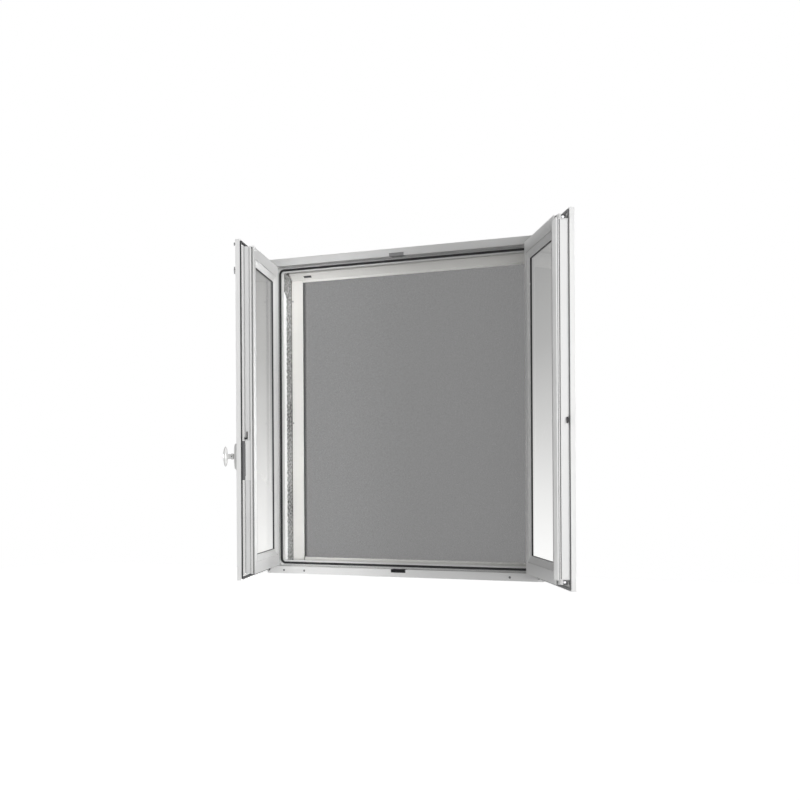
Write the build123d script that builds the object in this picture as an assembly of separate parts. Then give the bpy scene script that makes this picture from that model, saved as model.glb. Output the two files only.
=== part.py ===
from build123d import *
import os
from math import sin, sqrt

# Window frame, overall. X runs along the window, -Y faces the room, Z is up.
# The origin is the middle of the sill's underside.
frame_width = 1130.0
frame_height = 1184.0
frame_depth = 50.0
frame_face = 28.0
lip_reach = 20.0
lip_thickness = 8.0
profile_wall = 2.0

# Leaves. The insets count from the frame's outer edge.
leaf_inset = 14.0
leaf_gap = 6.0
flange_width = 20.0
flange_thickness = 15.0
flange_gap = 4.0
seal_squeeze = 0.4
sash_flat = 42.0
sash_bevel = 20.0
sash_bevel_drop = 8.0
sash_step = 1.5
sash_step_width = 3.0
hardware_channel_setback = 9.0
hardware_channel_depth = 3.0
hardware_channel_width = 21.0
edge_rib = 5.5
edge_groove = 5.5
edge_groove_depth = 8.0
left_leaf_open = 65.6
right_leaf_open = 123.9

# Glass units
pane_thickness = 4.0
pane_gap = 16.0
glass_seal = 6.0
inner_glass_seal = 3.0
glass_cover = 12.0
glass_edge_clearance = 4.0
spacer_width = 8.0

# Seals on the frame
frame_seal_width = 8.0
frame_seal_height = 3.0
frame_seal_corner = 12.0

# Hinges
hinge_axis_inset = 6.0
hinge_standoff = 14.0
knuckle_radius = 7.0
knuckle_length = 40.0
knuckle_gap = 0.5
hinge_pin_radius = 3.0
hinge_pin_clearance = 0.05
hinge_plate_thickness = 2.5
hinge_plate_reach = 30.0
top_hinge_rise = 6.0
bottom_hinge_start = 10.0

# Closing edge: astragal, bolts, rods and keeps
astragal_reach = 40.0
astragal_lip_thickness = 4.0
astragal_groove = 3.5
astragal_end_clearance = 3.0
astragal_cap = 3.0
astragal_tab_rise = 14.0
rod_width = 14.0
rod_thickness = 2.5
rod_clearance = 0.3
rod_tip_inset = 2.0
bolt_length = 240.0
bolt_head_reach = 14.0
bolt_guide_wall = 1.8
guide_screw_radius = 4.0
keep_width = 60.0
keep_height = 12.0
keep_depth = 27.0
keep_clearance = 0.4

# Handle
handle_height = 434.0
handle_inset = 38.0
rose_length = 96.0
rose_width = 30.0
rose_thickness = 13.0
neck_length = 24.0
grip_length = 68.0
grip_width = 26.0
grip_thickness = 16.0
spindle_side = 7.0
spindle_length = 30.0
lock_case_length = 133.0
lock_case_drop = 14.0
lock_cover_width = 9.5
hook_height = 492.0
hook_length = 26.0

# Reveal lining behind the frame
lining_thickness = 14.0
lining_depth = 78.0
lining_head_inset = 31.0
lining_sill_inset = 25.0

# Roller insect screen
screen_wall = 1.6
screen_side_gap = 3.0
cassette_front = 28.0
cassette_depth = 46.0
cassette_height = 41.0
cassette_chamfer_depth = 24.0
cassette_chamfer_height = 26.0
cassette_lip = 8.0
cassette_cap = 5.0
rail_width = 48.0
rail_depth = 22.0
rail_mouth_start = 3.0
rail_mouth = 8.0
rail_strip = 7.0
rail_strip_rise = 0.8
rail_screw_inset = 4.5
rail_screw_rise = 543.32
rail_screw_drop = 78.0
screw_radius = 1.7
mesh_thickness = 0.5
mesh_in_rail = 20.0
mesh_setback = 6.25
roller_radius = 12.5
roller_drop = 19.0
roller_back = 18.0
roller_pin_radius = 4.0
bar_height = 30.0
bar_depth = 16.0
bar_end_gap = 4.0
bar_brush = 1.7
running_gap = 0.3

# Fixings
fixing_hole_radius = 3.75
fixing_spacing = 760.0
fixing_setback = 18.0
plug_radius = 4.0
plug_rise = 1.2
plug_insets_left = (75.0, 165.0)
plug_inset_right = 125.0

# Worked out from the sizes above
y_front = -frame_depth / 2
half_width = frame_width / 2
rebate_floor = frame_depth - lip_thickness
sash_inset = leaf_inset + flange_width
y_sash_out = y_front + rebate_floor - frame_seal_height
y_flange_back = y_front - flange_gap
y_sash_in = y_flange_back - flange_thickness
leaf_thickness = y_sash_out - y_sash_in
x_hinge = half_width - hinge_axis_inset
y_hinge = y_front - hinge_standoff
z_leaf_low = leaf_inset
z_leaf_high = frame_height - leaf_inset
lip_inset = frame_face + lip_reach
y_back = frame_depth / 2
x_lining = half_width - lip_inset
z_lining_top = frame_height - lining_head_inset
z_lining_sill = lining_sill_inset
y_cassette = y_back + cassette_front
z_cassette = z_lining_top - cassette_height
y_rail = y_cassette + cassette_chamfer_depth
x_screen = x_lining - screen_side_gap
x_rail = x_screen - rail_width
y_mesh = y_rail + mesh_setback
y_roller = y_cassette + cassette_depth - roller_back
z_roller = z_lining_top - roller_drop
z_bar = z_lining_sill + bar_brush + running_gap
x_left_edge = -leaf_gap / 2 - flange_width
x_right_edge = leaf_gap / 2 + flange_width
y_channel = y_flange_back + hardware_channel_setback
sash_sight = sash_flat + sash_bevel
glass_inset = flange_width + sash_sight - glass_cover
y_glass_out = y_sash_out - sash_bevel_drop - glass_seal
y_glass_in = y_glass_out - 2 * pane_thickness - pane_gap
rebate_inset = glass_inset - glass_edge_clearance
sight_inset = flange_width + sash_sight
y_rod = y_channel + (hardware_channel_width - rod_width) / 2
y_lock = y_flange_back + 2.0
z_lock_low = handle_height - lock_case_drop - lock_case_length / 2
z_lock_high = z_lock_low + lock_case_length


def block(x0, x1, y0, y1, z0, z1):
    """A box between two corners."""
    centre = ((x0 + x1) / 2, (y0 + y1) / 2, (z0 + z1) / 2)
    return Pos(*centre) * Box(abs(x1 - x0), abs(y1 - y0), abs(z1 - z0))


def polygon(points):
    """A flat face through the given corners."""
    return make_face(Polyline(*points, close=True))


def run(outline, holes, place, length, direction):
    """Extrude a section, given by in-plane pairs, after place() puts each pair in space."""
    face = polygon([place(a, b) for a, b in outline])
    for hole in holes:
        face -= polygon([place(a, b) for a, b in hole])
    return extrude(face, amount=length, dir=direction)


def ring_member(outline, holes, rect, side, y0):
    """One mitred member of a rectangular ring.

    The section's pairs are the inset from the ring's outline and the depth behind y0.
    """
    x0, x1, z0, z1 = rect
    deepest = max(inset for inset, depth in outline)
    thick = [depth for inset, depth in outline]
    if side == "head":
        bar = run(outline, holes, lambda s, d: (x0, y0 + d, z1 - s), x1 - x0, (1, 0, 0))
        corners = [(x0, z1), (x1, z1), (x1 - deepest, z1 - deepest), (x0 + deepest, z1 - deepest)]
    elif side == "sill":
        bar = run(outline, holes, lambda s, d: (x0, y0 + d, z0 + s), x1 - x0, (1, 0, 0))
        corners = [(x0, z0), (x1, z0), (x1 - deepest, z0 + deepest), (x0 + deepest, z0 + deepest)]
    elif side == "left":
        bar = run(outline, holes, lambda s, d: (x0 + s, y0 + d, z0), z1 - z0, (0, 0, 1))
        corners = [(x0, z0), (x0, z1), (x0 + deepest, z1 - deepest), (x0 + deepest, z0 + deepest)]
    else:
        bar = run(outline, holes, lambda s, d: (x1 - s, y0 + d, z0), z1 - z0, (0, 0, 1))
        corners = [(x1, z0), (x1, z1), (x1 - deepest, z1 - deepest), (x1 - deepest, z0 + deepest)]
    low = y0 + min(thick) - 1
    plan = polygon([(x, low, z) for x, z in corners])
    return bar & extrude(plan, amount=max(thick) - min(thick) + 2, dir=(0, 1, 0))


def ring(rect, inset, width, y0, y1, radius):
    """A closed band of the given width, inset from a rectangle, with rounded corners."""
    x0, x1, z0, z1 = rect
    x0, x1, z0, z1 = x0 + inset, x1 - inset, z0 + inset, z1 - inset
    middle = Pos((x0 + x1) / 2, y1, (z0 + z1) / 2)
    outer = RectangleRounded(x1 - x0, z1 - z0, radius + width)
    inner = RectangleRounded(x1 - x0 - 2 * width, z1 - z0 - 2 * width, radius)
    return extrude(middle * Rot(90, 0, 0) * (outer - inner), amount=y1 - y0, dir=(0, -1, 0))


def upright(x, y, z0, z1, radius):
    """A round bar standing along Z."""
    return Pos(x, y, (z0 + z1) / 2) * Cylinder(radius, z1 - z0)


def crosswise(x0, x1, y, z, radius):
    """A round bar lying along X."""
    return Pos((x0 + x1) / 2, y, z) * Rot(0, 90, 0) * Cylinder(radius, abs(x1 - x0))


def inward(x, y0, y1, z, radius):
    """A round bar lying along Y."""
    return Pos(x, (y0 + y1) / 2, z) * Rot(90, 0, 0) * Cylinder(radius, abs(y1 - y0))


frame_rect = (-half_width, half_width, 0.0, frame_height)


def frame_section():
    """Outer frame: a face, a rebate for the leaves and a lip that carries the seal."""
    w = profile_wall
    outline = [(0, 0), (frame_face, 0), (frame_face, rebate_floor), (lip_inset, rebate_floor)]
    outline += [(lip_inset, frame_depth), (0, frame_depth)]
    web = frame_depth * 0.5
    front = [(w, w), (frame_face - w, w), (frame_face - w, web - w / 2), (w, web - w / 2)]
    floor = rebate_floor - w
    middle = [(w, web + w / 2), (frame_face - w, web + w / 2), (frame_face - w, floor), (w, floor)]
    rear = [(w, floor + 2 * w), (lip_inset - w, floor + 2 * w), (lip_inset - w, frame_depth - w)]
    rear += [(w, frame_depth - w)]
    return outline, [front, middle, rear]


def keep_notch(z0, z1):
    return block(-keep_width / 2, keep_width / 2, y_front - 1, y_front + keep_depth + 1, z0, z1)


def frame_member(side):
    outline, holes = frame_section()
    member = ring_member(outline, holes, frame_rect, side, y_front)
    if side == "head":
        z = frame_height - frame_face
        member -= keep_notch(z - 1, z + keep_height)
    elif side == "sill":
        member -= keep_notch(frame_face - keep_height, frame_face + 1)
    else:
        sign = -1 if side == "left" else 1
        for k in (-1, 1):
            z = frame_height / 2 + k * fixing_spacing / 2
            x_out = sign * (half_width + 1)
            x_in = sign * (half_width - frame_face - 1)
            member -= crosswise(x_out, x_in, y_front + fixing_setback, z, fixing_hole_radius)
    return member


def frame_seal():
    inset = lip_inset - lip_reach / 2 - frame_seal_width / 2
    y1 = y_front + rebate_floor
    y0 = y1 - frame_seal_height + seal_squeeze
    return ring(frame_rect, inset, frame_seal_width, y0, y1, frame_seal_corner)


def sill_plugs():
    """Caps over the screws and drain points along the sill's face."""
    places = [inset - half_width for inset in plug_insets_left] + [half_width - plug_inset_right]
    z = frame_face * 0.45
    return Compound([inward(x, y_front - plug_rise, y_front, z, plug_radius) for x in places])


def keep(z0, z1):
    """Cast keep in its notch, with a slot for the rod and a pocket for the bolt."""
    half = keep_width / 2 - keep_clearance
    body = block(-half, half, y_front + 1, y_front + keep_depth + 1 - keep_clearance, z0, z1)
    y0 = y_rod - 1.5
    y1 = y_rod + rod_width + 1.5
    rod_x = x_left_edge - hardware_channel_depth
    slot = block(rod_x - 1.5, rod_x + hardware_channel_depth + 1.5, y0, y1, z0 - 1, z1 + 1)
    bolt_x = x_right_edge - bolt_head_reach
    bolt_end = x_right_edge + rod_clearance + rod_thickness
    pocket = block(bolt_x - 1.5, bolt_end + 1.2, y0, y1, z0 - 1, z1 + 1)
    return body - slot - pocket


def leaf_rect(sign):
    near = leaf_gap / 2
    far = half_width - leaf_inset
    if sign < 0:
        return (-far, -near, z_leaf_low, z_leaf_high)
    return (near, far, z_leaf_low, z_leaf_high)


def sash_section():
    """Leaf profile: overlap flange, hardware channel, outer groove, bevelled glazing stop."""
    w = profile_wall
    f = flange_width
    t = leaf_thickness
    c0 = y_channel - y_sash_in
    c1 = c0 + hardware_channel_width
    g0 = c1 + edge_rib
    g1 = g0 + edge_groove
    stop = y_glass_out + glass_seal - y_sash_in
    outline = [(0, 0), (rebate_inset, 0), (rebate_inset, stop), (sight_inset, stop)]
    bead = sight_inset - sash_bevel
    outline += [(bead, t), (bead, t - sash_step), (bead - sash_step_width, t - sash_step)]
    outline += [(bead - sash_step_width, t), (f, t), (f, g1), (f + edge_groove_depth, g1)]
    outline += [(f + edge_groove_depth, g0), (f, g0), (f, c1), (f + hardware_channel_depth, c1)]
    outline += [(f + hardware_channel_depth, c0), (f, c0), (f, flange_thickness), (0, flange_thickness)]
    inner = rebate_inset - w
    a = f + hardware_channel_depth + w
    b = f + edge_groove_depth + w
    middle = (c0 + c1) / 2
    room = [(a, w), (inner, w), (inner, middle - w / 2), (a, middle - w / 2)]
    core = [(a, middle + w / 2), (inner, middle + w / 2), (inner, g0 - w), (a, g0 - w)]
    outer = [(b, g0), (inner, g0), (inner, t - w), (b, t - w)]
    return outline, [room, core, outer]


def leaf_member(sign, side):
    outline, holes = sash_section()
    rect = leaf_rect(sign)
    member = ring_member(outline, holes, rect, side, y_sash_in)
    if sign < 0 and side == "right":
        member -= lock_pocket()
    return member


def lock_pocket():
    """Room in the closing stile for the lock case and the handle's spindle."""
    z0 = z_lock_low + 8
    z1 = z_lock_high - 8
    x = x_left_edge
    x_floor = x - hardware_channel_depth - profile_wall - 1
    pocket = block(x_floor, x + 1, y_lock - 4, y_lock + lock_cover_width, z0, z1)
    x_spindle = -leaf_gap / 2 - handle_inset
    pocket += inward(x_spindle, y_sash_in - 1, y_sash_in + profile_wall + 1, handle_height, spindle_side)
    return pocket


def flange_seal(sign):
    return ring(leaf_rect(sign), 3.0, 8.0, y_flange_back, y_front - seal_squeeze, 2.0)


def glass_rect(sign, inset):
    x0, x1, z0, z1 = leaf_rect(sign)
    return (x0 + inset, x1 - inset, z0 + inset, z1 - inset)


def panes(sign):
    x0, x1, z0, z1 = glass_rect(sign, glass_inset)
    outer = block(x0, x1, y_glass_out - pane_thickness, y_glass_out, z0, z1)
    inner = block(x0, x1, y_glass_in, y_glass_in + pane_thickness, z0, z1)
    return Compound([outer, inner])


def glass_spacer(sign):
    rect = leaf_rect(sign)
    y0 = y_glass_in + pane_thickness
    return ring(rect, glass_inset, spacer_width, y0, y0 + pane_gap, 1.0)


def glazing_beads(sign):
    """Four snap-in beads that hold the glass from the room side."""
    reach = y_glass_in - inner_glass_seal - y_sash_in
    bevel = 6.0
    outline = [(rebate_inset, 0), (sight_inset - bevel, 0), (sight_inset, bevel), (sight_inset, reach)]
    outline += [(rebate_inset, reach)]
    rect = leaf_rect(sign)
    sides = ("head", "sill", "left", "right")
    return Compound([ring_member(outline, [], rect, side, y_sash_in) for side in sides])


def glazing_seals(sign):
    rect = leaf_rect(sign)
    width = sight_inset - glass_inset - 3.0
    outer = ring(rect, glass_inset + 4.0, width, y_glass_out, y_glass_out + glass_seal, 1.0)
    inner = ring(rect, glass_inset + 4.0, width, y_glass_in - inner_glass_seal, y_glass_in, 1.0)
    return Compound([outer, inner])


z_top_split = frame_height + top_hinge_rise - knuckle_length
z_low_split = bottom_hinge_start + knuckle_length


def frame_hinge(sign, upper):
    """Knuckle on its web and plate, standing on the frame's face."""
    x = sign * x_hinge
    if upper:
        z0, z1 = z_top_split + knuckle_gap, z_top_split + knuckle_length
    else:
        z0, z1 = z_low_split - knuckle_length, z_low_split
    plate_top = min(z1, frame_height - 2)
    body = upright(x, y_hinge, z0, z1, knuckle_radius)
    body += block(x - 3, x + 3, y_hinge, y_front, z0, plate_top)
    body += block(x - 6, x + 6, y_front - hinge_plate_thickness, y_front, z0, plate_top)
    if upper:
        return body - upright(x, y_hinge, z0 - 1, z1 - 3, hinge_pin_radius)
    return body - upright(x, y_hinge, z0 + 3, z1 + 1, hinge_pin_radius)


def leaf_hinge(sign, upper):
    """Knuckle with a flag plate on the leaf's room face."""
    x = sign * x_hinge
    if upper:
        z0, z1 = z_top_split - knuckle_length, z_top_split
    else:
        z0, z1 = z_low_split + knuckle_gap, z_low_split + knuckle_length
    body = upright(x, y_hinge, z0, z1, knuckle_radius)
    x_plate = sign * (half_width - leaf_inset - hinge_plate_reach)
    body += block(x, x_plate, y_sash_in - hinge_plate_thickness, y_sash_in, z0, z1)
    return body - upright(x, y_hinge, z0 - 1, z1 + 1, hinge_pin_radius + hinge_pin_clearance)


def hinge_pin(sign, upper):
    z = z_top_split if upper else z_low_split
    half = knuckle_length - 3
    return upright(sign * x_hinge, y_hinge, z - half, z + half, hinge_pin_radius)


corners = [(sign, upper) for sign in (-1, 1) for upper in (True, False)]


def astragal():
    """Closing profile on the right leaf: a hollow body and an outer lip over the left leaf."""
    w = profile_wall
    x0 = x_right_edge - astragal_reach
    lip = x0 - lip_reach
    y1 = y_sash_out + frame_seal_height
    y2 = y1 + astragal_lip_thickness
    y_c0 = y_rod - 2.2
    y_c1 = y_rod + rod_width + 2.2
    y_g0 = y_c1 + 5.0
    y_g1 = y_g0 + astragal_groove
    outline = [(x_right_edge, y_channel), (x0, y_channel), (x0, y_c0), (x0 + 1.5, y_c0), (x0 + 1.5, y_c1)]
    outline += [(x0, y_c1), (x0, y_g0), (x0 + 5, y_g0), (x0 + 5, y_g1), (x0, y_g1)]
    outline += [(x0, y1), (lip, y1), (lip, y2), (x_right_edge - 4, y2), (x_right_edge, y_sash_out)]
    chamber = [(x_right_edge - w, y_channel + w), (x0 + 5 + w, y_channel + w)]
    chamber += [(x0 + 5 + w, y1 - w), (x_right_edge - w - 3, y1 - w), (x_right_edge - w, y_sash_out - w)]
    z0 = lip_inset + astragal_end_clearance + astragal_cap
    z1 = frame_height - z0
    return run(outline, [chamber], lambda x, y: (x, y, z0), z1 - z0, (0, 0, 1))


def astragal_end(upper):
    """Plastic end cap with a tab that closes the gap in the frame's rebate."""
    x0 = x_right_edge - astragal_reach
    z0 = lip_inset + astragal_end_clearance
    y1 = y_sash_out + frame_seal_height
    y2 = y1 + astragal_lip_thickness
    cap = block(x0 - lip_reach, x_right_edge, y1, y2, z0, z0 + astragal_cap)
    cap += block(x0, x_right_edge, y_channel, y1, z0, z0 + astragal_cap)
    y_tab = y_rod + rod_width + 2.0
    cap += block(x0 + 3, x_right_edge - 4, y_tab, y_tab + 8, z0 - astragal_tab_rise, z0)
    if upper:
        cap = mirror(cap, about=Plane((0, 0, frame_height / 2)))
    return cap


def astragal_seal():
    lip = x_right_edge - astragal_reach - lip_reach
    z0 = lip_inset + astragal_end_clearance + astragal_cap
    y1 = y_sash_out + frame_seal_height
    return block(lip + 3, lip + 3 + frame_seal_width, y_sash_out + seal_squeeze, y1, z0, frame_height - z0)


def drive_rod(upper):
    """Flat rod in the left leaf's hardware channel."""
    x1 = x_left_edge - rod_clearance
    x0 = x1 - rod_thickness
    tip = frame_height - sash_inset - rod_tip_inset
    if not upper:
        z1 = z_lock_low - 2
        return block(x0, x1, y_rod, y_rod + rod_width, sash_inset + rod_tip_inset, z1)
    return block(x0, x1, y_rod, y_rod + rod_width, z_lock_high + 2, tip)


def lock_hook():
    """L-shaped hook on the upper rod."""
    x0 = x_left_edge - rod_clearance
    x1 = x0 + 4.2
    y_hook = y_rod + 5.0
    hook = block(x0, x1, y_hook, y_hook + 3.0, hook_height, hook_height + hook_length)
    return hook + block(x0, x1, y_hook - 7.5, y_hook, hook_height, hook_height + 6.0)


def hook_keep():
    """Nose on the astragal that the hook rises behind, with a clip round the astragal's corner."""
    x0 = x_right_edge - astragal_reach
    z0 = hook_height + hook_length + 3
    nose_y = y_rod + 3.5
    keep_piece = block(x0 - 4.0, x0 + 1.5, nose_y - 5, nose_y, z0, z0 + 18)
    keep_piece += block(x0 - 1.2, x0, y_channel - 2.0, nose_y - 5, z0 + 3, z0 + 15)
    return keep_piece + block(x0 - 1.2, x0 + 12, y_channel - 2.0, y_channel, z0 - 6, z0 + 24)


def passive_bolt(upper):
    """Flat bolt in the right leaf's channel with a head that enters the keep."""
    x0 = x_right_edge + rod_clearance
    x1 = x0 + rod_thickness
    tip = sash_inset + rod_tip_inset
    bolt = block(x0, x1, y_rod, y_rod + rod_width, tip, tip + bolt_length)
    head_top = lip_inset + astragal_end_clearance - running_gap
    bolt += block(x_right_edge - bolt_head_reach, x1, y_rod, y_rod + rod_width, tip, head_top)
    if upper:
        bolt = mirror(bolt, about=Plane((0, 0, frame_height / 2)))
    return bolt


def bolt_guide(upper):
    """Moulded guide that the bolt's head slides through, at the leaf's corner."""
    wall = bolt_guide_wall
    z0 = sash_inset + 1.0
    z1 = lip_inset + astragal_end_clearance - running_gap
    x0 = x_right_edge - bolt_head_reach - running_gap
    guide = block(x0 - wall, x_right_edge, y_rod - running_gap - wall, y_rod + rod_width + wall, z0, z1)
    guide -= block(x0, x_right_edge + 1, y_rod - running_gap, y_rod + rod_width + running_gap, z0 - 1, z1 + 1)
    if upper:
        guide = mirror(guide, about=Plane((0, 0, frame_height / 2)))
    return guide


def guide_screw(upper):
    """Round pin head on the outside of the guide."""
    x = x_right_edge - bolt_head_reach - running_gap - bolt_guide_wall
    z = (sash_inset + 1.0 + lip_inset + astragal_end_clearance - running_gap) / 2
    if upper:
        z = frame_height - z
    return crosswise(x - 1.2, x, y_rod + rod_width / 2, z, guide_screw_radius)


def lock_case():
    """Gear case in the closing stile, with the bowed cover that stands out of its edge."""
    x = x_left_edge
    z0 = z_lock_low
    z1 = z_lock_high
    taper = 12.0
    proud = 4.2
    y0 = y_lock
    width = lock_cover_width - 1.0
    cover = [(x, z0), (x + proud, z0 + taper), (x + proud, z1 - taper), (x, z1)]
    body = extrude(polygon([(a, y0, b) for a, b in cover]), amount=width, dir=(0, 1, 0))
    case_x = -leaf_gap / 2 - handle_inset - 14
    neck = block(case_x, x, y0 - 3, y0 + width, z0 + 14, z1 - 14)
    bore = spindle_side * 0.75 + 0.4
    spindle = inward(-leaf_gap / 2 - handle_inset, y0 - 5, y0 + width + 1, handle_height, bore)
    return body + neck - spindle


def handle_rose():
    """Backplate: a bowed cover on a flat base, with rounded ends."""
    x = -leaf_gap / 2 - handle_inset
    half = rose_length / 2
    shoulder = rose_thickness - 2

    def at(out, up):
        return (x - rose_width / 2, y_sash_in - out, handle_height + up)

    lower = Polyline(at(0, half), at(0, -half), at(4, -half), at(shoulder, -half + 8))
    bow = ThreePointArc(at(shoulder, -half + 8), at(rose_thickness, 0), at(shoulder, half - 8))
    upper = Polyline(at(shoulder, half - 8), at(4, half), at(0, half))
    plate = extrude(make_face([lower, bow, upper]), amount=rose_width, dir=(1, 0, 0))
    outline = RectangleRounded(rose_width, rose_length, rose_width / 2 - 2)
    outline = Pos(x, y_sash_in + 1, handle_height) * Rot(90, 0, 0) * outline
    plate &= extrude(outline, amount=rose_thickness + 2, dir=(0, -1, 0))
    return plate - inward(x, y_sash_in - rose_thickness - 1, y_sash_in + 1, handle_height, 7.0)


def handle_knob():
    """Oval grip on a turned neck, with the square spindle behind it."""
    x = -leaf_gap / 2 - handle_inset
    rose = rose_thickness
    out = rose + neck_length
    neck = [(0, 1), (6.4, 1), (6.4, rose + 1), (9.5, rose + 5), (10.5, rose + 9)]
    neck += [(8.5, rose + 15), (8.0, out + 4), (0, out + 4)]
    turned = revolve(polygon([(r, 0, h) for r, h in neck]), axis=Axis.Z, revolution_arc=360)
    grip = scale(Sphere(1), by=(grip_width / 2, grip_length / 2, grip_thickness / 2))
    turned += Pos(0, 0, out + grip_thickness / 2) * grip
    turned += Pos(0, 0, 1 - spindle_length / 2) * Box(spindle_side, spindle_side, spindle_length)
    knob = Pos(x, y_sash_in, handle_height) * Rot(90, 0, 0) * turned
    return knob - crosswise(x + 6, x + 12, y_sash_in - rose - 9, handle_height, 2.0)


def handle_screw():
    """Grub screw in the side of the neck."""
    x = -leaf_gap / 2 - handle_inset
    return crosswise(x + 6, x + 10, y_sash_in - rose_thickness - 9, handle_height, 2.0)


def curtain_hooks():
    """Two small rod brackets near the top of the left leaf's room face."""
    x = -leaf_gap / 2 - 8
    hooks = []
    for z, length in ((z_leaf_high - 16.0, 10.0), (z_leaf_high - 105.0, 24.0)):
        stud = inward(x, y_sash_in - 6, y_sash_in, z, length / 4)
        stud += block(x - 3, x + 3, y_sash_in - 6, y_sash_in - 3, z - length / 2, z + length / 2)
        hooks.append(stud)
    return Compound(hooks)


def lining(side):
    """Boards that line the wall opening behind the frame and carry the screen."""
    t = lining_thickness
    y1 = y_back + lining_depth
    if side == "head":
        return block(-x_lining - t, x_lining + t, y_back, y1, z_lining_top, z_lining_top + t)
    if side == "sill":
        return block(-x_lining - t, x_lining + t, y_back, y1, z_lining_sill - t, z_lining_sill)
    sign = -1 if side == "left" else 1
    return block(sign * x_lining, sign * (x_lining + t), y_back, y1, z_lining_sill, z_lining_top)


def sealant_bead(sign):
    """Lumpy bead where the frame meets the lining board."""
    z0 = z_lining_sill
    z1 = z_lining_top - 88
    steps = 90
    edge = []
    for k in range(steps + 1):
        z = z0 + (z1 - z0) * k / steps
        bulge = 9 + 1.6 * sin(0.61 * k + sign) + 1.4 * sin(1.73 * k) + 1.2 * sin(2.9 * k + 2 * sign)
        edge.append((bulge, z))
    points = [(0, z0)] + edge + [(0, z1)]
    face = polygon([(sign * x_lining, y_back + a, z) for a, z in points])
    return extrude(face, amount=3.0, dir=(-sign, 0, 0))


def cassette_outline():
    """Corner pairs of the screen's head box, seen from the end: depth, then height."""
    y0 = y_cassette
    y1 = y_cassette + cassette_depth
    y2 = y_cassette + cassette_chamfer_depth
    z2 = z_cassette + cassette_chamfer_height
    return [(y0, z_lining_top), (y1, z_lining_top), (y1, z_cassette), (y2, z_cassette), (y0, z2)]


cassette_groove_radius = 0.9
cassette_grooves = (
    (y_cassette, z_cassette + cassette_chamfer_height + 3.0),
    (y_cassette + cassette_chamfer_depth, z_cassette),
)


def cassette():
    """Head box: a hollow extrusion with a sloping front and a lip in front of the mesh."""
    x = x_screen - cassette_cap
    face = polygon([(-x, y, z) for y, z in cassette_outline()])
    shell = extrude(face, amount=2 * x, dir=(1, 0, 0))
    hollow = offset(face, amount=-screen_wall, kind=Kind.INTERSECTION)
    shell -= extrude(hollow, amount=2 * x, dir=(1, 0, 0))
    gap_x = x_rail + mesh_in_rail + 2
    shell -= block(-gap_x, gap_x, y_mesh - 3, y_mesh + 4, z_cassette - 1, z_cassette + screen_wall + 1)
    for y, z in cassette_grooves:
        shell -= crosswise(-x, x, y, z, cassette_groove_radius)
    lip_x = x_rail - 2
    lip_top = z_cassette + screen_wall
    shell += block(-lip_x, lip_x, y_rail, y_rail + screen_wall, z_cassette - cassette_lip, lip_top)
    slot_x = 13 - x_rail
    return shell - block(slot_x, slot_x + 33, y_cassette, y_rail - 3, z_cassette + 8, z_cassette + 14)


def cassette_ends():
    ends = []
    for sign in (-1, 1):
        x = sign * x_screen
        face = polygon([(x, y, z) for y, z in cassette_outline()])
        end = extrude(face, amount=cassette_cap, dir=(-sign, 0, 0))
        bore_end = x - sign * (cassette_cap + 1)
        end -= crosswise(x - sign * 2, bore_end, y_roller, z_roller, roller_pin_radius + 0.05)
        ends.append(end)
    return Compound(ends)


x_screw = x_screen - rail_screw_inset
screw_heights = (z_lining_sill + rail_screw_rise, z_cassette - rail_screw_drop)


def screen_rail(sign):
    """Guide rail: an open channel with raised edge strips and a rear flange to the lining."""
    w = screen_wall
    x = sign * x_rail
    body = block(x, sign * x_screen, y_rail, y_rail + rail_depth, z_lining_sill, z_cassette)
    z0 = z_lining_sill - 1
    z1 = z_cassette + 1
    body -= block(x + sign * w, sign * (x_screen - w), y_rail + w, y_rail + rail_depth - w, z0, z1)
    y_mouth = y_rail + rail_mouth_start
    body -= block(x - sign, x + sign * (w + 1), y_mouth, y_mouth + rail_mouth, z0, z1)
    for a, b in ((0, rail_strip), (rail_width - rail_strip, rail_width)):
        top = z_cassette - cassette_lip - 2
        body += block(x + sign * a, x + sign * b, y_rail - rail_strip_rise, y_rail + w, z_lining_sill, top)
    y1 = y_rail + rail_depth
    body += block(sign * x_screen, sign * x_lining, y1 - w, y1, z_lining_sill, z_cassette)
    for z in screw_heights:
        body -= inward(sign * x_screw, y_rail - 2, y1 - 1, z, screw_radius)
    return body


def rail_brushes():
    """Pile strips on both sides of the mesh, just inside each rail's mouth."""
    brushes = []
    y_mouth = y_rail + rail_mouth_start
    y_behind = y_mesh + mesh_thickness + 0.9
    for sign in (-1, 1):
        x0 = sign * (x_rail + 0.4)
        x1 = sign * (x_rail + 5.0)
        brushes.append(block(x0, x1, y_mouth, y_mesh - 0.9, z_lining_sill, z_cassette))
        brushes.append(block(x0, x1, y_behind, y_mouth + rail_mouth, z_lining_sill, z_cassette))
    return Compound(brushes)


def rail_screws():
    """Pan-head screws that clamp each rail from front to back."""
    screws = []
    y0 = y_rail - rail_strip_rise
    for sign in (-1, 1):
        x = sign * x_screw
        for z in screw_heights:
            shank = inward(x, y0, y_rail + rail_depth - 1, z, screw_radius)
            screws.append(shank + inward(x, y0 - 1.4, y0, z, 2.9))
    return Compound(screws)


def screen_mesh():
    x = x_rail + mesh_in_rail
    drop = sqrt(roller_radius**2 - (y_mesh + mesh_thickness / 2 - y_roller) ** 2)
    top = z_roller - drop - running_gap
    return block(-x, x, y_mesh, y_mesh + mesh_thickness, z_bar + bar_height, top)


def screen_roller():
    """Tube with the wound mesh and its two end pins."""
    x = x_screen - cassette_cap - 4
    tube = crosswise(-x, x, y_roller, z_roller, roller_radius)
    pin = x_screen - 2 - running_gap
    return tube + crosswise(-pin, pin, y_roller, z_roller, roller_pin_radius)


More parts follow.
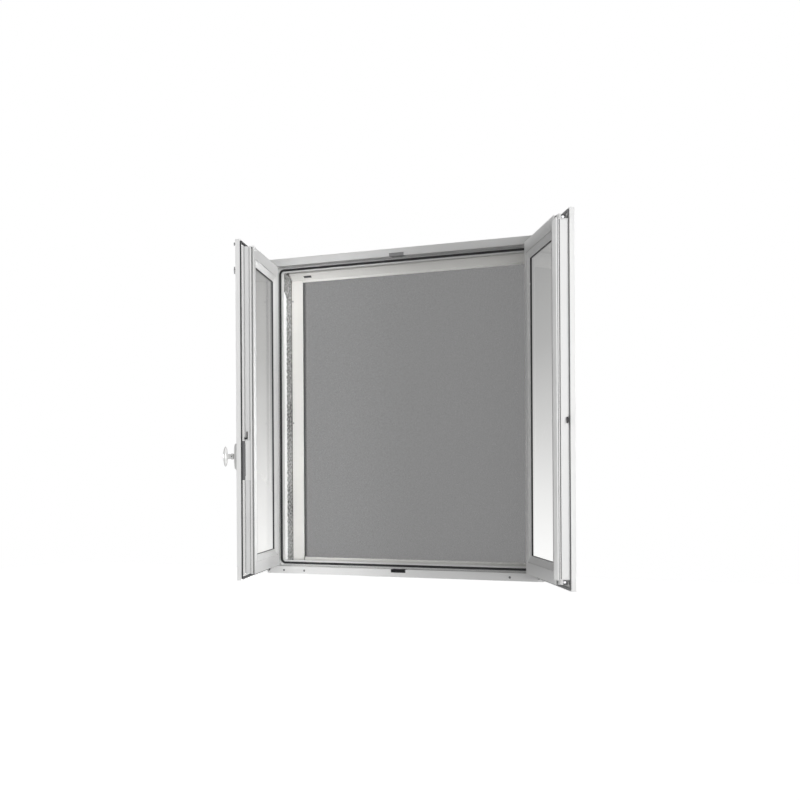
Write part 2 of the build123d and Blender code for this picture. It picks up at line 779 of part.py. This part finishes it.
def screen_bar():
    """Bottom rail of the screen, a hollow extrusion with a rounded front."""
    x = x_rail - bar_end_gap
    y0 = y_mesh + mesh_thickness / 2 - bar_depth / 2
    y1 = y0 + bar_depth
    z1 = z_bar + bar_height
    step = 5.0
    outline = [(y0, z_bar), (y1, z_bar), (y1, z1 - step), (y1 - step, z1), (y0 + step, z1), (y0, z1 - step)]
    w = screen_wall
    hollow = [(y0 + w, z_bar + w), (y1 - w, z_bar + w), (y1 - w, z1 - step - w), (y0 + w, z1 - step - w)]
    return run(outline, [hollow], lambda y, z: (-x, y, z), 2 * x, (1, 0, 0))


def bar_sliders():
    """End pieces of the bar: a thin neck through each rail's mouth and a shoe behind it."""
    sliders = []
    y0 = y_mesh + mesh_thickness / 2
    shoe_y0 = y_rail + screen_wall + 0.6
    shoe_y1 = y_rail + rail_depth - screen_wall - 0.6
    z1 = z_bar + bar_height
    for sign in (-1, 1):
        x0 = sign * (x_rail - bar_end_gap)
        neck = block(x0, sign * (x_rail + 10), y0 - 0.9, y0 + 0.9, z_bar, z1)
        shoe = block(sign * (x_rail + 7), sign * (x_rail + 30), shoe_y0, shoe_y1, z_bar, z1)
        plug_y = bar_depth / 2 - screen_wall - 0.2
        plug_z = z1 - 5.0 - screen_wall - 0.2
        plug = block(x0 - sign * 14, x0, y0 - plug_y, y0 + plug_y, z_bar + screen_wall + 0.2, plug_z)
        sliders.append(neck + shoe + plug)
    return Compound(sliders)


def bar_brush_strip():
    x = x_rail - bar_end_gap
    y = y_mesh + mesh_thickness / 2
    return block(-x, x, y - 4, y + 4, z_bar - bar_brush, z_bar)


def opened(shape, sign):
    """Swing a leaf's piece from closed to the rest pose."""
    angle = -left_leaf_open if sign < 0 else right_leaf_open
    return shape.rotate(Axis((sign * x_hinge, y_hinge, 0), (0, 0, 1)), angle)


def add_leaf(nodes, sign, name):
    for side, label in (("head", "top_rail"), ("sill", "bottom_rail")):
        nodes[name + "_leaf_" + label] = opened(leaf_member(sign, side), sign)
    lock_side, hinge_side = ("right", "left") if sign < 0 else ("left", "right")
    nodes[name + "_leaf_closing_stile"] = opened(leaf_member(sign, lock_side), sign)
    nodes[name + "_leaf_hinge_stile"] = opened(leaf_member(sign, hinge_side), sign)
    nodes[name + "_glass"] = opened(panes(sign), sign)
    nodes[name + "_glass_spacer"] = opened(glass_spacer(sign), sign)
    nodes[name + "_glazing_beads"] = opened(glazing_beads(sign), sign)
    nodes[name + "_glazing_seals"] = opened(glazing_seals(sign), sign)
    nodes[name + "_overlap_seal"] = opened(flange_seal(sign), sign)
    hinges = Compound([leaf_hinge(sign, upper) for upper in (True, False)])
    nodes[name + "_leaf_hinges"] = opened(hinges, sign)


def build():
    nodes = {}
    for side, label in (("head", "head"), ("sill", "sill"), ("left", "jamb_left"), ("right", "jamb_right")):
        nodes["frame_" + label] = frame_member(side)
    nodes["lining_head"] = lining("head")
    nodes["lining_sill"] = lining("sill")
    nodes["lining_sides"] = Compound([lining("left"), lining("right")])
    nodes["frame_seal"] = frame_seal()
    nodes["sill_plugs"] = sill_plugs()
    z = frame_height - frame_face
    upper_keep = keep(z, z + keep_height - keep_clearance)
    lower_keep = keep(frame_face - keep_height + keep_clearance, frame_face)
    nodes["frame_keeps"] = Compound([upper_keep, lower_keep])
    nodes["frame_hinges"] = Compound([frame_hinge(sign, upper) for sign, upper in corners])
    nodes["hinge_pins"] = Compound([hinge_pin(sign, upper) for sign, upper in corners])
    nodes["sealant_beads"] = Compound([sealant_bead(sign) for sign in (-1, 1)])
    nodes["screen_cassette"] = cassette()
    nodes["screen_cassette_ends"] = cassette_ends()
    nodes["screen_rail_left"] = screen_rail(-1)
    nodes["screen_rail_right"] = screen_rail(1)
    nodes["screen_rail_brushes"] = rail_brushes()
    nodes["screen_rail_screws"] = rail_screws()
    nodes["screen_mesh"] = screen_mesh()
    nodes["screen_roller"] = screen_roller()
    nodes["screen_bottom_bar"] = screen_bar()
    nodes["screen_bar_sliders"] = bar_sliders()
    nodes["screen_bar_brush"] = bar_brush_strip()
    add_leaf(nodes, -1, "left")
    add_leaf(nodes, 1, "right")
    nodes["lock_case"] = opened(lock_case(), -1)
    nodes["handle_rose"] = opened(handle_rose(), -1)
    nodes["handle_knob"] = opened(handle_knob(), -1)
    nodes["handle_screw"] = opened(handle_screw(), -1)
    nodes["curtain_hooks"] = opened(curtain_hooks(), -1)
    nodes["drive_rod_top"] = opened(drive_rod(True), -1)
    nodes["drive_rod_bottom"] = opened(drive_rod(False), -1)
    nodes["lock_hook"] = opened(lock_hook(), -1)
    nodes["astragal"] = opened(astragal(), 1)
    nodes["astragal_ends"] = opened(Compound([astragal_end(upper) for upper in (True, False)]), 1)
    nodes["astragal_seal"] = opened(astragal_seal(), 1)
    nodes["hook_keep"] = opened(hook_keep(), 1)
    guides = Compound([bolt_guide(upper) for upper in (True, False)])
    nodes["bolt_guides"] = opened(guides, 1)
    pins = Compound([guide_screw(upper) for upper in (True, False)])
    nodes["bolt_guide_pins"] = opened(pins, 1)
    nodes["passive_bolt_top"] = opened(passive_bolt(True), 1)
    nodes["passive_bolt_bottom"] = opened(passive_bolt(False), 1)
    return nodes


os.makedirs("parts", exist_ok=True)
for node, shape in build().items():
    export_step(shape, "parts/" + node + ".step")
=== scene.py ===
import math

import bmesh
import bpy
from mathutils import Matrix, Vector, noise


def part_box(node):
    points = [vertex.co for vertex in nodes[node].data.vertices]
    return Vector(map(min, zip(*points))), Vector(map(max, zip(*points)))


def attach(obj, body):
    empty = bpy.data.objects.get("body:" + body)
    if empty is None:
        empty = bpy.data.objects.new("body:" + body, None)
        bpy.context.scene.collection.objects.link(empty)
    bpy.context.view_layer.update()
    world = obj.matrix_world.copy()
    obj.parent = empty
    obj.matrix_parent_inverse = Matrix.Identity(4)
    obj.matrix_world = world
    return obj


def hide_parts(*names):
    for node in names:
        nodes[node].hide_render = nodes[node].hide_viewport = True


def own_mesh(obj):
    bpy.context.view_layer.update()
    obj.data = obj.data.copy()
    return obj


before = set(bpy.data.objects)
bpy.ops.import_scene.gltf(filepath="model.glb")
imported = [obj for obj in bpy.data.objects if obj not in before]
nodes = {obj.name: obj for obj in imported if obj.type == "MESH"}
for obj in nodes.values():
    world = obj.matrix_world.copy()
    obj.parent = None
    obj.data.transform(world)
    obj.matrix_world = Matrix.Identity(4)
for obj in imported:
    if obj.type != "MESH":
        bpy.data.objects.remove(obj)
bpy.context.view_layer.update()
scene = bpy.context.scene
scene.view_settings.view_transform = "Standard"

# Camera, solved from the photograph's straight edges: level, with the picture shifted up.
PICTURE = 800  # pixels
FOCAL = 1409.74  # pixels
SHIFT_UP = 74.1  # pixels
SENSOR = 36.0  # millimetres
HEADING, ROLL = 28.83, -0.327  # degrees
EYE = (2.4529, -4.4624, 0.3708)

camera_data = bpy.data.cameras.new("camera")
camera_data.sensor_width = SENSOR
camera_data.lens = FOCAL / PICTURE * SENSOR
camera_data.shift_y = SHIFT_UP / PICTURE
camera_data.clip_end = 60.0
camera = bpy.data.objects.new("camera", camera_data)
scene.collection.objects.link(camera)
turn = Matrix.Rotation(math.radians(HEADING), 4, "Z")
level = Matrix.Rotation(math.radians(90.0), 4, "X")
roll = Matrix.Rotation(math.radians(ROLL), 4, "Z")
camera.matrix_world = Matrix.Translation(EYE) @ turn @ level @ roll
scene.camera = camera


class Graph:
    """Short calls for building one node tree."""

    def __init__(self, tree):
        self.tree = tree

    def node(self, kind, **values):
        made = self.tree.nodes.new(kind)
        for name, value in values.items():
            setattr(made, name, value)
        return made

    def feed(self, socket, value):
        """Link the socket to another node's output, or set it to a colour or a number."""
        if isinstance(value, bpy.types.NodeSocket):
            self.tree.links.new(value, socket)
        elif isinstance(value, tuple):
            socket.default_value = (*value, 1.0)
        else:
            socket.default_value = value

    def feed_all(self, node, **values):
        """Feed sockets by name, written with underscores for the spaces."""
        for name, value in values.items():
            self.feed(node.inputs[name.replace("_", " ")], value)

    def math(self, operation, a, b):
        made = self.node("ShaderNodeMath", operation=operation)
        self.feed(made.inputs[0], a)
        self.feed(made.inputs[1], b)
        return made.outputs[0]

    def coords(self, kind="Object"):
        return self.node("ShaderNodeTexCoord").outputs[kind]

    def split(self, vector):
        made = self.node("ShaderNodeSeparateXYZ")
        self.feed(made.inputs[0], vector)
        return made.outputs

    def noise(self, coords, scale, detail):
        made = self.node("ShaderNodeTexNoise")
        self.feed_all(made, Scale=scale, Detail=detail, Vector=coords)
        return made.outputs[0]

    def remap(self, value, start, end, low=0.0, high=1.0):
        """Carry the values from start to end over to low to high, and clamp what lies outside."""
        made = self.node("ShaderNodeMapRange")
        self.feed_all(made, From_Min=start, From_Max=end, To_Min=low, To_Max=high, Value=value)
        return made.outputs[0]

    def ramp(self, value, stops):
        """Colour ramp; each stop is its place and its colour."""
        made = self.node("ShaderNodeValToRGB")
        elements = made.color_ramp.elements
        while len(elements) < len(stops):
            elements.new(0.5)
        for element, (place, colour) in zip(elements, stops):
            element.position = place
            element.color = (*colour, 1.0)
        self.feed(made.inputs["Fac"], value)
        return made.outputs["Color"]

    def blend(self, factor, a, b, kind="MULTIPLY"):
        made = self.node("ShaderNodeMix", data_type="RGBA", blend_type=kind)
        self.feed_all(made, Factor=factor, A=a, B=b)
        return made.outputs["Result"]

    def bump(self, height, strength, distance):
        made = self.node("ShaderNodeBump")
        self.feed_all(made, Strength=strength, Distance=distance, Height=height)
        return made

    def background(self, colour, strength):
        made = self.node("ShaderNodeBackground")
        self.feed_all(made, Color=colour, Strength=strength)
        return made.outputs[0]

    def mix_shaders(self, factor, a, b):
        made = self.node("ShaderNodeMixShader")
        for socket, value in zip(made.inputs, (factor, a, b)):
            self.feed(socket, value)
        return made.outputs[0]

    def mirrored(self):
        """The light path's outputs, and 1 for rays that left a glossy or a see-through surface."""
        path = self.node("ShaderNodeLightPath").outputs
        return path, self.math("MAXIMUM", path["Is Glossy Ray"], path["Is Transmission Ray"])


# World: even light on the object, white behind it, and a grey upper half in gloss and glass.
WHITE = (1.0, 1.0, 1.0)
AMBIENT = 0.32
SKY = (
    (-0.06, 1.0), (-0.018, 0.87), (0.017, 0.73), (0.052, 0.60), (0.088, 0.49), (0.122, 0.41), (0.16, 0.37),
)


def studio():
    world = bpy.data.worlds.new("studio")
    world.use_nodes = True
    world.node_tree.nodes.clear()
    scene.world = world
    g = Graph(world.node_tree)
    path, mirrored = g.mirrored()
    low, high = SKY[0][0], SKY[-1][0]
    height = g.remap(g.split(g.coords("Generated"))["Z"], low, high)
    stops = [((z - low) / (high - low), (grey, grey, grey)) for z, grey in SKY]
    sky = g.background(g.ramp(height, stops), 1.0)
    unseen = g.mix_shaders(mirrored, g.background(WHITE, AMBIENT), sky)
    light = g.mix_shaders(path["Is Camera Ray"], unseen, g.background(WHITE, 1.0))
    g.feed(g.node("ShaderNodeOutputWorld").inputs["Surface"], light)


studio()


def place_light(name, data, aim):
    made = bpy.data.objects.new(name, data)
    scene.collection.objects.link(made)
    made.rotation_euler = aim.to_track_quat("-Z", "Y").to_euler()
    return made


def lamp(name, place, target, size, power, spread):
    """Rectangular lamp that is aimed at a target; the spread of its beam is in degrees."""
    data = bpy.data.lights.new(name, "AREA")
    data.shape = "RECTANGLE"
    data.size, data.size_y = size
    data.energy = power
    data.spread = math.radians(spread)
    place_light(name, data, Vector(target) - Vector(place)).location = place


def sun(name, azimuth, elevation, width, strength):
    """Distant soft light. Azimuth 0 shines from +X, 90 from -Y; all angles are in degrees."""
    data = bpy.data.lights.new(name, "SUN")
    data.angle = math.radians(width)
    data.energy = strength
    a, e = math.radians(azimuth), math.radians(elevation)
    source = Vector((math.cos(a) * math.cos(e), -math.sin(a) * math.cos(e), math.sin(e)))
    place_light(name, data, -source)


sun("side", azimuth=17, elevation=5, width=22, strength=1.45)
sun("front", azimuth=50, elevation=3, width=24, strength=0.68)
sun("left", azimuth=178, elevation=1, width=3, strength=1.2)
sun("back", azimuth=264, elevation=1, width=12, strength=1.0)
# This narrow lamp lights the left end of the reveal.
lamp("reveal", (2.55, -2.2, 0.60), target=(-0.40, 0.05, 0.60), size=(0.14, 1.4), power=0.85, spread=9)


def blank_material(name):
    material = bpy.data.materials.new(name)
    material.use_nodes = True
    material.node_tree.nodes.clear()
    return material, Graph(material.node_tree)


def principled(name):
    """A new material with its graph and its principled shader."""
    material, g = blank_material(name)
    shader = g.node("ShaderNodeBsdfPrincipled")
    g.feed(g.node("ShaderNodeOutputMaterial").inputs["Surface"], shader.outputs[0])
    return material, g, shader


BEVEL = 0.0007
# Edges: how far the bevelled normal agrees with the true one on flat parts and on sharp edges.
FLAT, SHARP = 0.99, 0.85
RUBBED, EDGE_WEAR = (0.30, 0.29, 0.27), 0.06
# Painted crease shade: how much of the surroundings is open, within this reach, where the painted shade
# ends and where it is full.
OPEN, SHUT_IN, CREASE_REACH = 0.66, 0.12, 0.010
# Colour and strength of the painted crease shade.
CREASE_SHADE_TONE, CREASE_SHADE_DEPTH = (0.20, 0.20, 0.195), 0.8


def worn_edges(g, tone, soft, cloud):
    """Darken edges, which are where the bevelled normal leaves the true one, by the cloud's patches."""
    turned = g.node("ShaderNodeVectorMath", operation="DOT_PRODUCT")
    g.feed(turned.inputs[0], soft)
    g.feed(turned.inputs[1], g.node("ShaderNodeNewGeometry").outputs["Normal"])
    edge = g.remap(turned.outputs["Value"], FLAT, SHARP, 0.0, EDGE_WEAR)
    return g.blend(g.math("MULTIPLY", edge, g.math("MULTIPLY", cloud, 2.0)), tone, RUBBED)


def painted_crease_shade(g, tone):
    """Darken the places that other surfaces close in on, with painted shade."""
    crease = g.node("ShaderNodeAmbientOcclusion", samples=6)
    g.feed(crease.inputs["Distance"], CREASE_REACH)
    return g.blend(g.remap(crease.outputs["AO"], SHUT_IN, OPEN, CREASE_SHADE_DEPTH, 0.0), tone, CREASE_SHADE_TONE)


def coat(
    name, colour, rough=0.35, grain=900.0, bump=0.05, spread=0.03, gloss_coat=0.0, metal=0.0, mottle=0.35
):
    """Painted, moulded or metal surface.

    It has cloudy colour, a fine speckle, orange-peel bump, uneven gloss, painted shade in creases and soft
    worn edges.
    """
    material, g, shader = principled(name)
    coords = g.coords()
    cloud = g.noise(coords, scale=7.0, detail=6.0)
    speckle = g.noise(coords, scale=grain * 0.6, detail=3.0)
    mixed = g.math("ADD", g.math("MULTIPLY", cloud, 1.0 - mottle), g.math("MULTIPLY", speckle, mottle))
    low = [c * (1.0 - spread) for c in colour]
    high = [min(1.0, c * (1.0 + spread)) for c in colour]
    tone = g.ramp(mixed, ((0.3, low), (0.7, high)))
    bevel = g.node("ShaderNodeBevel", samples=4)
    g.feed(bevel.inputs["Radius"], BEVEL)
    soft = bevel.outputs[0]
    peel = g.noise(coords, scale=grain, detail=2.0)
    rise = g.bump(peel, strength=bump, distance=0.0004)
    g.feed(rise.inputs["Normal"], soft)
    # The base colour has worn edges and painted shade in the creases.
    g.feed_all(
        shader,
        Base_Color=painted_crease_shade(g, worn_edges(g, tone, soft, cloud)),
        Normal=rise.outputs[0],
        Roughness=g.remap(cloud, 0.0, 1.0, rough - 0.04, rough + 0.06),
        Metallic=metal,
        Coat_Weight=gloss_coat,
    )
    return material


BLACK = (0.015, 0.015, 0.016)
LOWER_HALF = ((-1.0, -1.0, -1.0), (1.0, 1.0, 0.6))
HEAD_BOX_SLOT = ((-0.4532, 0.0545, 1.1196), (-0.4198, 0.08, 1.1264))


def blacken(material, low, high):
    """Turn the coat black inside one box, given by two corners in metres."""
    g = Graph(material.node_tree)
    shader = next(n for n in material.node_tree.nodes if n.type == "BSDF_PRINCIPLED")
    worn = shader.inputs["Base Color"].links[0].from_socket
    place = g.split(g.coords())
    inside = 1.0
    for axis, start, end in zip("XYZ", low, high):
        above = g.math("GREATER_THAN", place[axis], start)
        below = g.math("LESS_THAN", place[axis], end)
        inside = g.math("MULTIPLY", g.math("MULTIPLY", above, below), inside)
    g.feed(shader.inputs["Base Color"], g.blend(inside, worn, BLACK, "MIX"))


# The panes' painted sky reflection: grey high up, white low down.
PANE_BOTTOM, PANE_TOP = 0.10, 1.10
PAINTED_REFLECTION_GREYS = ((0.0, 1.0), (0.22, 0.84), (0.45, 0.63), (0.7, 0.45), (1.0, 0.36))


def glass(name, glow):
    """Insulating glass with a painted sky reflection that also glows: grey high up, white low down, nearly
    opaque.
    """
    material, g, shader = principled(name)
    coords = g.coords()
    film = g.noise(coords, scale=5.0, detail=4.0)
    height = g.remap(g.split(coords)["Z"], PANE_BOTTOM, PANE_TOP)
    stops = [(place, (grey, grey, grey * 0.99)) for place, grey in PAINTED_REFLECTION_GREYS]
    tone = g.ramp(g.math("ADD", height, g.math("MULTIPLY", film, 0.02)), stops)
    # The painted reflection goes into both the colour and the glow.
    g.feed_all(
        shader,
        Base_Color=g.blend(1.0, tone, (0.12, 0.12, 0.12)),
        Emission_Color=tone,
        Emission_Strength=glow,
        Roughness=g.remap(film, 0.0, 1.0, 0.03, 0.09),
        Normal=g.bump(film, strength=0.01, distance=0.0005).outputs[0],
        IOR=1.12,
        Specular_IOR_Level=0.25,
        Alpha=0.95,
    )
    return material


MESH_PITCH = 0.0014
THREAD_DARK, THREAD_PALE = (0.075, 0.075, 0.076), (0.105, 0.105, 0.107)
HOLE_COVER, THREAD_COVER, SLUB_COVER = 0.705, 0.12, 0.03


def weave(name, see_through):
    """Plain weave of dark coated threads; where it is see-through, its holes are a little more so."""
    material, g, shader = principled(name)
    coords = g.coords()
    waves = []
    for direction in ("X", "Z"):
        wave = g.node("ShaderNodeTexWave", wave_type="BANDS", bands_direction=direction)
        # At scale 1 the bands of this texture are pi / 10 apart.
        g.feed_all(wave, Scale=math.pi / 10 / MESH_PITCH, Vector=coords)
        waves.append(wave.outputs["Fac"])
    thread = g.math("MAXIMUM", waves[0], waves[1])
    slub = g.noise(coords, scale=130.0, detail=3.0)
    g.feed_all(
        shader,
        Base_Color=g.ramp(slub, ((0.3, THREAD_DARK), (0.7, THREAD_PALE))),
        Normal=g.bump(thread, strength=0.05, distance=0.0001).outputs[0],
        Roughness=0.8,
    )
    if see_through:
        slubs = g.math("MULTIPLY", slub, SLUB_COVER)
        cover = g.math("ADD", g.math("MULTIPLY", thread, THREAD_COVER), slubs)
        g.feed(shader.inputs["Alpha"], g.math("ADD", cover, HOLE_COVER))
    return material


CREAM = (0.93, 0.92, 0.89)
# Painted shade: the frame's head and jambs get a darker copy of the white that the sill and leaves have.
frame_white_painted_shade = coat("frame_powder_coat_painted_shade", (0.66, 0.66, 0.655))
sill_white = coat("sill_powder_coat", (0.87, 0.87, 0.865))
leaf_white = coat("leaf_powder_coat", (0.87, 0.87, 0.865))
# Painted light: the glazing beads get a lighter copy of the leaves' white.
bead_white_painted_light = coat("bead_powder_coat_painted_light", (0.95, 0.95, 0.945))
cream = coat("screen_powder_coat", CREAM, rough=0.42)
plastic = coat("moulded_plastic", (0.74, 0.74, 0.735), rough=0.5, grain=500.0, bump=0.08)
screen_plastic = coat("screen_moulding", (0.70, 0.69, 0.67), rough=0.5, grain=500.0, bump=0.08)
gloss_white = coat("gloss_handle", (0.86, 0.86, 0.85), rough=0.14, bump=0.01, gloss_coat=0.6)
gasket = coat("gasket_black", (0.022, 0.022, 0.024), rough=0.62, grain=1500.0, bump=0.12, spread=0.15)
grey_gasket = coat("gasket_grey", (0.20, 0.20, 0.205), rough=0.6, grain=1500.0, bump=0.1, spread=0.1)
zinc = coat("zinc_plate", (0.42, 0.42, 0.43), rough=0.32, grain=1200.0, bump=0.08, spread=0.12, metal=1.0)
dark_steel = coat("dark_steel", (0.018, 0.018, 0.02), rough=0.5, bump=0.08, spread=0.2)
hinge_steel = coat("hinge_steel", (0.10, 0.10, 0.105), rough=0.42, bump=0.1, spread=0.2, metal=0.5)
rod_grey = coat("rod_coating", (0.78, 0.78, 0.78), rough=0.4, spread=0.06)
black_plastic = coat(
    "black_moulding", (0.035, 0.035, 0.037), rough=0.45, grain=600.0, bump=0.08, spread=0.15
)
lock_grey = coat("lock_cover", (0.20, 0.20, 0.205), rough=0.4, bump=0.06, spread=0.08)
spacer_metal = coat("spacer_bar", (0.40, 0.40, 0.41), rough=0.45, spread=0.08, metal=0.8)
# Painted shade: the linings' rough render is coloured dark grey to stand in for the shade in the reveal.
render_grey_painted_shade = coat(
    "lining_render_painted_shade", (0.27, 0.27, 0.265), rough=0.85, grain=190.0, bump=1.0, spread=0.9, mottle=0.75
)
sealant = coat("sealant", (0.93, 0.93, 0.92), rough=0.5, grain=320.0, bump=0.5, spread=0.1)
pile = coat("brush_pile", (0.10, 0.10, 0.10), rough=0.9, grain=2600.0, bump=0.8, spread=0.4)
mesh_weave = weave("mesh_weave", see_through=True)

# The sill's keep is blackened; the head's is bare zinc.
castings = coat(
    "keep_castings", (0.30, 0.30, 0.305), rough=0.38, grain=700.0, bump=0.15, spread=0.25, metal=0.7
)
blacken(castings, *LOWER_HALF)

# Painted shade: the inside of the slot in the screen's head box is coloured black.
slotted_painted_shade = coat("head_box_powder_coat", CREAM, rough=0.42)
blacken(slotted_painted_shade, *HEAD_BOX_SLOT)

looks = {
    "frame_head": frame_white_painted_shade,
    "frame_sill": sill_white,
    "frame_jamb_left": frame_white_painted_shade,
    "frame_jamb_right": frame_white_painted_shade,
    "frame_seal": gasket,
    "frame_keeps": castings,
    "sill_plugs": grey_gasket,
    "frame_hinges": hinge_steel,
    "hinge_pins": hinge_steel,
    "lining_head": render_grey_painted_shade,
    "lining_sill": render_grey_painted_shade,
    "lining_sides": render_grey_painted_shade,
    "screen_cassette": slotted_painted_shade,
    "screen_cassette_ends": screen_plastic,
    "screen_rail_left": cream,
    "screen_rail_right": cream,
    "screen_rail_brushes": pile,
    "screen_rail_screws": zinc,
    "screen_roller": weave("wound_mesh", see_through=False),
    "screen_bottom_bar": cream,
    "screen_bar_sliders": screen_plastic,
    "screen_bar_brush": pile,
    "lock_case": lock_grey,
    "handle_rose": gloss_white,
    "handle_knob": gloss_white,
    "handle_screw": dark_steel,
    "curtain_hooks": zinc,
    "drive_rod_top": rod_grey,
    "drive_rod_bottom": rod_grey,
    "lock_hook": dark_steel,
    "astragal": leaf_white,
    "astragal_ends": plastic,
    "astragal_seal": grey_gasket,
    "hook_keep": dark_steel,
    "passive_bolt_top": zinc,
    "passive_bolt_bottom": zinc,
    "bolt_guides": black_plastic,
    "bolt_guide_pins": zinc,
    # The right pane is given a stronger painted glow than the left.
    "left_glass": glass("left_pane_painted_glow", glow=0.74),
    "right_glass": glass("right_pane_painted_glow", glow=0.91),
    "left_overlap_seal": gasket,
    "right_overlap_seal": grey_gasket,
}
for side in ("left", "right"):
    for part in ("top_rail", "bottom_rail", "closing_stile", "hinge_stile"):
        looks[f"{side}_leaf_{part}"] = leaf_white
    looks[f"{side}_glazing_beads"] = bead_white_painted_light
    looks[f"{side}_glass_spacer"] = spacer_metal
    looks[f"{side}_glazing_seals"] = gasket
    looks[f"{side}_leaf_hinges"] = hinge_steel

for name, material in looks.items():
    mesh = nodes[name].data
    mesh.materials.clear()
    mesh.materials.append(material)


def fill_grid(bm, grid, flip=False):
    """Fill rows of corner points with four-sided faces."""
    for row, following in zip(grid, grid[1:]):
        for i in range(len(row) - 1):
            corners = [row[i], row[i + 1], following[i + 1], following[i]]
            bm.faces.new(corners[::-1] if flip else corners)


def smooth_object(bm, name, material):
    """Turn a bmesh into an object with smooth faces, and put it in the scene."""
    data = bpy.data.meshes.new(name)
    bm.to_mesh(data)
    bm.free()
    data.materials.append(material)
    for face in data.polygons:
        face.use_smooth = True
    made = bpy.data.objects.new(name, data)
    scene.collection.objects.link(made)
    return made


def insect_mesh():
    """The drawn-down screen as one stretched sheet; its faint ripple dies out at the top and bottom."""
    low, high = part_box("screen_mesh")
    width, length = high[0] - low[0], high[2] - low[2]
    y = (low[1] + high[1]) / 2
    ripple, half_waves = 0.0001, 9
    across, down = 40, 44
    bm = bmesh.new()
    grid = []
    for j in range(down + 1):
        v = j / down
        row = []
        for i in range(across + 1):
            u = i / across
            wave = ripple * math.sin(half_waves * u * math.pi) * math.sin(math.pi * v) ** 2
            row.append(bm.verts.new((low[0] + width * u, y + wave, low[2] + length * v)))
        grid.append(row)
    fill_grid(bm, grid)
    piece = smooth_object(bm, "insect_mesh", mesh_weave)
    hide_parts("screen_mesh")
    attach(piece, "window")
    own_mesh(piece)


insect_mesh()


def sealant_beads():
    """Two lumpy hand-laid beads along the side linings, where the frame meets them."""
    low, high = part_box("sealant_beads")
    proud, width, thinnest = 0.004, 0.017, 0.0002
    # How quickly the three sizes of unevenness change along the bead, per metre.
    lumps, knobs, grains = 75.0, 190.0, 330.0
    across, along = 7, 620
    bm = bmesh.new()
    for sign in (-1, 1):
        wall = low[0] if sign < 0 else high[0]
        grid = []
        for j in range(along + 1):
            v = j / along
            z = low[2] + (high[2] - low[2]) * v
            lump = noise.noise(Vector((sign * 3.0, 0.0, z * lumps)))
            lump += 0.5 * noise.noise(Vector((sign, 5.0, z * knobs)))
            # The bead runs out to nothing at its top, and to a fifth of its width at its bottom.
            taper = min(1.0, (1.0 - v) * 55.0, v * 120.0 + 0.2)
            reach = width * taper * (1.0 + 0.22 * lump)
            row = []
            for i in range(across + 1):
                u = i / across
                grit = noise.noise(Vector((sign * 9.0, u * 4.0, z * grains)))
                rise = proud * math.sin(math.pi * u) ** 0.6 * (0.8 + 0.35 * lump + 0.3 * grit)
                row.append(bm.verts.new((wall - sign * max(rise, thinnest), low[1] + reach * u, z)))
            grid.append(row)
        fill_grid(bm, grid, flip=sign < 0)
    bmesh.ops.recalc_face_normals(bm, faces=bm.faces)
    piece = smooth_object(bm, "lumpy_beads", sealant)
    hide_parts("sealant_beads")
    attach(piece, "window")


sealant_beads()


def floor():
    """White ground well below the object, which glows where the camera, gloss or glass looks at it."""
    half_side, ground, glow = 14.0, -1.1, 0.71
    material, g = blank_material("floor_white")
    path, mirrored = g.mirrored()
    seen = g.math("MAXIMUM", mirrored, path["Is Camera Ray"])
    matt = g.node("ShaderNodeBsdfDiffuse")
    g.feed(matt.inputs["Color"], (0.85, 0.85, 0.85))
    bright = g.node("ShaderNodeEmission")
    g.feed_all(bright, Color=WHITE, Strength=g.math("MULTIPLY", seen, glow))
    both = g.node("ShaderNodeAddShader")
    g.feed(both.inputs[0], matt.outputs[0])
    g.feed(both.inputs[1], bright.outputs[0])
    g.feed(g.node("ShaderNodeOutputMaterial").inputs["Surface"], both.outputs[0])
    bm = bmesh.new()
    bmesh.ops.create_grid(bm, x_segments=1, y_segments=1, size=half_side)
    made = smooth_object(bm, "floor", material)
    made.location = (0.0, 0.0, ground)


floor()
